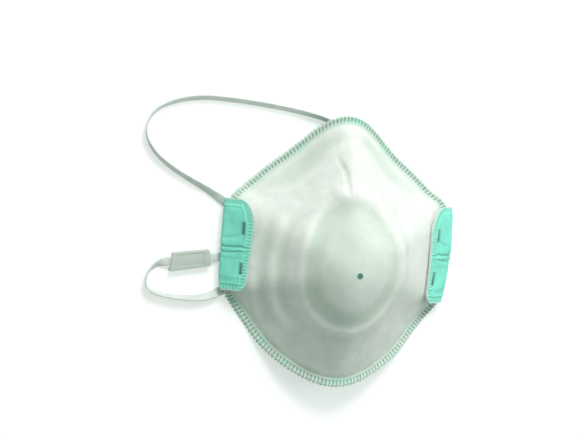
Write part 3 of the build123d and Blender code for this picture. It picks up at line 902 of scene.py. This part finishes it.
def weld_spot(material):
    """A small dished disc with a rounded lip, pressed into the panel and lying along it."""
    low, high = (Vector(corner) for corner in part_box("centre_spot_weld"))
    surface = cup_surface()
    places = surface.points.reshape(-1, 3)
    middle = np.array([(low.x + high.x) / 2, (low.y + high.y) / 2])
    nearest = np.argsort(((places[:, :2] - middle) ** 2).sum(1))[:40]
    normal = Vector(surface.facing.reshape(-1, 3)[nearest].mean(0)).normalized()
    centre = Vector((*middle, places[nearest, 2].mean()))
    turn = Vector((0, 0, 1)).rotation_difference(normal)
    profile, steps = SPOT_PROFILE, 48
    points = [centre + turn @ Vector((0, 0, profile[0][1] * MM))]
    for radius, lift in profile[1:]:
        for i in range(steps):
            angle = 2 * math.pi * i / steps
            spoke = Vector((radius * math.cos(angle), radius * math.sin(angle), lift)) * MM
            points.append(centre + turn @ spoke)
    faces = [(0, 1 + i, 1 + (i + 1) % steps) for i in range(steps)]
    for ring in range(len(profile) - 2):
        for i in range(steps):
            a, b = 1 + ring * steps + i, 1 + ring * steps + (i + 1) % steps
            faces.append((a, a + steps, b + steps, b))
    faces.append([1 + (len(profile) - 2) * steps + i for i in range(steps)][::-1])
    return mesh_object("weld_spot_disc", points, faces, material)


class MASK_OT_nose(bpy.types.Operator):
    """Finishes the hidden nose clip and its foam"""
    bl_idname = "mask.nose"
    bl_label = "Nose clip and foam"

    def execute(self, context):
        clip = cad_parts["nose_clip"].data
        clip.materials.clear()
        clip.materials.append(
            brushed("clip metal", (0.55, 0.56, 0.57, 1), (0.74, 0.75, 0.76, 1), 1.0, 0.35))
        pad = rounded_copy("nose_pad", "nose_foam", 0.5 * MM, 3, foam())
        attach(pad, "mask")
        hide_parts("nose_foam")
        return {"FINISHED"}


# ---------------------------------------------------------------- straps

# Each row: x, y, z of the strap's middle in millimetres, and its roll in degrees (0 flat, 90 on edge).
UPPER_ROUTE = [
    (-51.4, 5.0, 6.2, -43), (-51.8, 11.5, 5.8, -43), (-54.9, 16.6, 2.8, -28), (-59.4, 21.2, 1.0, -3),
    (-69.2, 27.6, 2.3, -42), (-80.0, 33.2, 2.6, -60), (-91.5, 39.6, 2.6, -67), (-101.0, 47.0, 2.6, -78),
    (-106.6, 57.5, 2.6, -98), (-103.0, 68.4, 2.6, -113), (-91.5, 74.3, 2.6, -119),
    (-77.0, 76.9, 2.6, -122), (-60.5, 76.2, 2.6, -122), (-43.0, 74.5, 2.6, -121),
    (-24.0, 71.9, 2.6, -119), (-6.0, 67.8, 2.6, -112), (8.0, 56.5, 2.6, -98),
    (15.0, 41.0, 2.6, -92), (22.5, 28.5, 2.6, -84),
    (35.5, 23.5, 2.7, -72), (46.5, 20.0, 4.6, -56), (51.3, 13.9, 6.4, -43), (51.5, 4.0, 6.35, -43)]
LOWER_ROUTE = [
    (-50.8, -7.0, 6.2, 43), (-51.0, -12.6, 5.7, 43), (-54.2, -18.2, 2.5, 25), (-59.0, -22.6, 0.95, 2),
    (-69.5, -27.6, 2.3, 50), (-81.5, -28.0, 2.6, 66), (-93.0, -26.6, 2.6, 70), (-101.6, -23.8, 2.6, 78),
    (-102.0, -15.6, 2.5, 76), (-96.4, -10.0, 2.0, 44), (-91.5, -9.11, 1.85, 0), (-54.0, -4.83, 1.85, 0),
    (-38.0, -3.0, 1.85, 0), (-12.0, 3.5, 1.2, 0), (12.0, 4.0, 1.0, 0), (34.0, 1.0, 1.4, -8),
    (46.0, 0.2, 4.4, -28), (50.5, -6.4, 6.2, -43), (50.8, -17.0, 6.15, -43)]
STRAP_SECTION = 20           # points round the band
THREAD_DEPTH = 0.04 * MM
STRAP_FLOOR_GAP = 0.03 * MM


def route_curve(name, route):
    """The strap's line as a smooth spline with the route's points as its control points."""
    curve = bpy.data.curves.new(name, "CURVE")
    curve.dimensions = "3D"
    spline = curve.splines.new("NURBS")
    spline.points.add(len(route) - 1)
    for point, row in zip(spline.points, route):
        point.co = (*(value * MM for value in row[:3]), 1.0)
    spline.order_u = 3
    spline.use_endpoint_u = True
    spline.resolution_u = 16
    return collection_add(bpy.data.objects.new(name, curve))


def read_line(curve_object):
    """The spline's own points, in order, and their distances along it."""
    bpy.context.view_layer.update()
    mesh = bpy.data.meshes.new_from_object(curve_object)
    line = np.array([v.co[:] for v in mesh.vertices])
    bpy.data.meshes.remove(mesh)
    keep = np.concatenate([[True], np.linalg.norm(np.diff(line, axis=0), axis=1) > 1e-6])
    line = line[keep]
    run = np.concatenate([[0], np.cumsum(np.linalg.norm(np.diff(line, axis=0), axis=1))])
    return line, run


def rolls_along(route, line, run):
    """The roll at each point of the line, read from the nearest route rows."""
    places = [run[np.argmin(np.linalg.norm(line - np.array(row[:3]) * MM, axis=1))] for row in route]
    places[0], places[-1] = 0.0, run[-1]
    rolls = np.interp(run, places, [row[3] for row in route])
    return smooth_rows(rolls, 3, False)


def strap_band(name, line, run, rolls, material):
    """A flat band with rounded edges and fine threads along the line."""
    settings = bpy.context.scene.mask_strap
    tangent = np.gradient(line, axis=0)
    tangent /= np.linalg.norm(tangent, axis=1, keepdims=True)
    level = np.stack([-tangent[:, 1], tangent[:, 0], 0 * tangent[:, 0]], 1)
    level /= np.linalg.norm(level, axis=1, keepdims=True)
    upright = np.cross(tangent, level)
    roll = np.radians(rolls)[:, None]
    wide = level * np.cos(roll) + upright * np.sin(roll)
    thick = np.cross(tangent, wide)
    half_wide, half_thick = settings.wide / 2, settings.thick / 2
    section = []
    flats = STRAP_SECTION // 2
    for side in (1, -1):
        for k in range(flats):
            share = (k + 0.5) / flats * 2 - 1
            thread = THREAD_DEPTH * math.cos(math.pi * settings.threads * share)
            pinch = math.sqrt(max(0.0, 1 - abs(share) ** 9))
            section.append((side * share * half_wide, side * (half_thick - thread) * pinch,
                            side * share))
    rows, count = len(line), len(section)
    points = np.stack([line + wide * w + thick * t for w, t, _ in section], 1)
    across = [share for _, _, share in section]
    points[:, :, 2] = np.maximum(points[:, :, 2], STRAP_FLOOR_GAP)
    faces = []
    for i in range(rows - 1):
        for j in range(count):
            k = (j + 1) % count
            faces.append((i * count + j, i * count + k, (i + 1) * count + k, (i + 1) * count + j))
    faces.append(tuple(range(count))[::-1])
    faces.append(tuple((rows - 1) * count + j for j in range(count)))
    piece = mesh_object(name, points.reshape(-1, 3), faces, material)
    point_values(piece, "across", np.tile(np.array(across) * 0.5 + 0.5, rows))
    point_values(piece, "along", np.repeat(run, count))
    return piece


class MASK_OT_straps(bpy.types.Operator):
    """Lays the two elastic straps along their routes"""
    bl_idname = "mask.straps"
    bl_label = "Straps"

    def execute(self, context):
        material = elastic()
        for name, route in (("upper_strap", UPPER_ROUTE), ("lower_strap", LOWER_ROUTE)):
            guide = route_curve(name + "_line", route)
            line, run = read_line(guide)
            bpy.data.objects.remove(guide)
            piece = strap_band(name + "_band", line, run, rolls_along(route, line, run), material)
            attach(piece, "mask")
            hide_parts(name)
            pieces_on_it = [slider()] if name == "lower_strap" else []
        return {"FINISHED"}


# ---------------------------------------------------------------- slider

SLIDER_HALF = 10.25 * MM
SLIDER_HALF_WIDTH = 4.3 * MM
SLIDER_RUN = (57.8, 6.6, 0)  # the way the strap runs through the slider
SLIDER_SLANT = 1.3 * MM      # how far the left end slants
SLIDER_DRAW = 1.1 * MM       # how far the left end is drawn down
WINDOW_ROOM = 0.28 * MM      # the cover plate over the strap's edge
COVER_END = 3.0 * MM         # from the slider's end to the cover plate
COVER_LIFT, COVER_THICK = 0.75 * MM, 0.6 * MM


def slider_frame():
    """The slider's own axes: along the strap, across it and up."""
    joint = Vector(SLIDER_RUN).normalized()
    low, high = (Vector(corner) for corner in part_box("strap_buckle"))
    across = Vector((-joint.y, joint.x, 0))
    turned = Matrix((joint, across, (0, 0, 1))).transposed().to_4x4()
    return Matrix.Translation((low + high) / 2) @ turned


def slider():
    """The clear slider: softened edges, a window over the strap and a slanted, drawn-down left end."""
    settings = bpy.context.scene.mask_strap
    piece = rounded_copy("clear_slider", "strap_buckle", 0.3 * MM, 3, clear_plastic())
    place = slider_frame()
    work = bmesh.new()
    work.from_mesh(piece.data)
    half_window, inner = settings.wide / 2 + WINDOW_ROOM, SLIDER_HALF - COVER_END
    cover = bmesh.ops.create_cube(work, size=1.0)["verts"]
    top = settings.thick / 2 + COVER_LIFT
    for vert in cover:
        x, y, z = vert.co
        vert.co = place @ Vector((x * 2 * inner, y * 2 * half_window, top + z * COVER_THICK))
    edges = {edge for vert in cover for edge in vert.link_edges}
    bmesh.ops.bevel(work, geom=list(edges), offset=0.2 * MM, segments=3, profile=0.5, affect="EDGES")
    back = place.inverted()
    for vert in work.verts:
        local = back @ vert.co
        end = float(ease(-3.5 * MM, -SLIDER_HALF, local.x))
        local.x += SLIDER_SLANT * end * (local.y / SLIDER_HALF_WIDTH - 0.3)
        local.y -= SLIDER_DRAW * end * (0.5 - 0.5 * local.y / SLIDER_HALF_WIDTH)
        vert.co = place @ local
    work.to_mesh(piece.data)
    work.free()
    piece.data.polygons.foreach_set("use_smooth", [True] * len(piece.data.polygons))
    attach(piece, "slider")
    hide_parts("strap_buckle")
    return piece


# ---------------------------------------------------------------- stage

CAMERA_AT = Vector((-0.3188, 0.0896, 1.0364))
LOOKS_AT = Vector((-0.0247, 0.0146, 0.0))
CAMERA_UP = Vector((-0.0325, 0.9946, -0.0987))


def aim(obj, at, target, up):
    """Puts a camera or lamp at a place, looking at another."""
    back = (at - target).normalized()
    right = up.cross(back).normalized()
    rotation = Matrix((right, back.cross(right), back)).transposed().to_4x4()
    obj.matrix_world = Matrix.Translation(at) @ rotation


def soft_light(name, at, target, size, power, colour):
    """A wide soft lamp."""
    data = bpy.data.lights.new(name, "AREA")
    data.shape = "RECTANGLE"
    data.size, data.size_y = size, size * 0.8
    data.energy = power
    data.color = colour
    lamp = collection_add(bpy.data.objects.new(name, data))
    aim(lamp, Vector(at), Vector(target), Vector((0, 0.3, 1)))


class MASK_OT_stage(bpy.types.Operator):
    """Sets the camera, the pale floor and the soft light"""
    bl_idname = "mask.stage"
    bl_label = "Stage"

    def execute(self, context):
        settings = context.scene.mask_stage
        data = bpy.data.cameras.new("camera")
        data.lens, data.sensor_width = settings.lens, 36.0
        data.clip_start, data.clip_end = 0.05, 20.0
        camera = collection_add(bpy.data.objects.new("camera", data))
        aim(camera, CAMERA_AT, LOOKS_AT, CAMERA_UP)
        context.scene.camera = camera

        material, tree, shader = new_material("floor")
        shader.inputs["Base Color"].default_value = rgba(settings.floor_colour)
        shader.inputs["Roughness"].default_value = 0.9
        shader.inputs["Specular IOR Level"].default_value = 0.0
        shader.inputs["Emission Color"].default_value = (1, 1, 1, 1)
        seen = add_node(tree, "ShaderNodeLightPath").outputs["Is Camera Ray"]
        tree.links.new(math_node(tree, "MULTIPLY", seen, 0.5), shader.inputs["Emission Strength"])
        half = 3.0
        corners = [(-half, -half, 0), (half, -half, 0), (half, half, 0), (-half, half, 0)]
        mesh_object("floor", corners, [(0, 1, 2, 3)], material, False)

        for name, at, target, size, share, colour in (
                ("key", (0.08, 0.87, 0.74), (0, 0, 0.02), 0.50, 1.0, (1.0, 0.99, 0.97)),
                ("side", (0.90, 0.12, 0.50), (0, 0, 0.02), 0.45, 0.26, (0.98, 1.0, 1.0)),
                ("top", (-0.1, 0.5, 1.3), (0, 0, 0), 1.2, 0.18, (0.97, 1.0, 0.99))):
            soft_light(name, at, target, size, settings.key_power * share, colour)
        context.scene.view_settings.view_transform = "Standard"
        world = bpy.data.worlds.new("surround")
        world.use_nodes = True
        background = world.node_tree.nodes["Background"]
        background.inputs["Color"].default_value = (0.79, 1.0, 0.86, 1)
        background.inputs["Strength"].default_value = settings.fill
        context.scene.world = world
        return {"FINISHED"}


# ---------------------------------------------------------------- add-on

class MASK_PT_panel(bpy.types.Panel):
    """Lists the mask's steps in the 3D view's sidebar"""
    bl_idname = "MASK_PT_panel"
    bl_label = "Dust mask"
    bl_space_type = "VIEW_3D"
    bl_region_type = "UI"
    bl_category = "Mask"

    def draw(self, context):
        for group in (context.scene.mask_shell, context.scene.mask_strap, context.scene.mask_stage):
            box = self.layout.box()
            for name in group.__annotations__:
                box.prop(group, name)
        for operator in OPERATORS:
            self.layout.operator(operator.bl_idname)


SETTINGS = (MaskShellSettings, MaskStrapSettings, MaskStageSettings)
OPERATORS = (MASK_OT_stage, MASK_OT_straps, MASK_OT_cup, MASK_OT_webs, MASK_OT_ears,
             MASK_OT_fasteners, MASK_OT_nose)
CLASSES = SETTINGS + OPERATORS + (MASK_PT_panel,)


def register():
    for made in CLASSES:
        bpy.utils.register_class(made)
    bpy.types.Scene.mask_shell = PointerProperty(type=MaskShellSettings)
    bpy.types.Scene.mask_strap = PointerProperty(type=MaskStrapSettings)
    bpy.types.Scene.mask_stage = PointerProperty(type=MaskStageSettings)


def unregister():
    for name in ("mask_shell", "mask_strap", "mask_stage"):
        delattr(bpy.types.Scene, name)
    for made in reversed(CLASSES):
        bpy.utils.unregister_class(made)


def main():
    register()
    for operator in OPERATORS:
        group, step = operator.bl_idname.split(".")
        getattr(getattr(bpy.ops, group), step)()


if __name__ == "__main__":
    main()
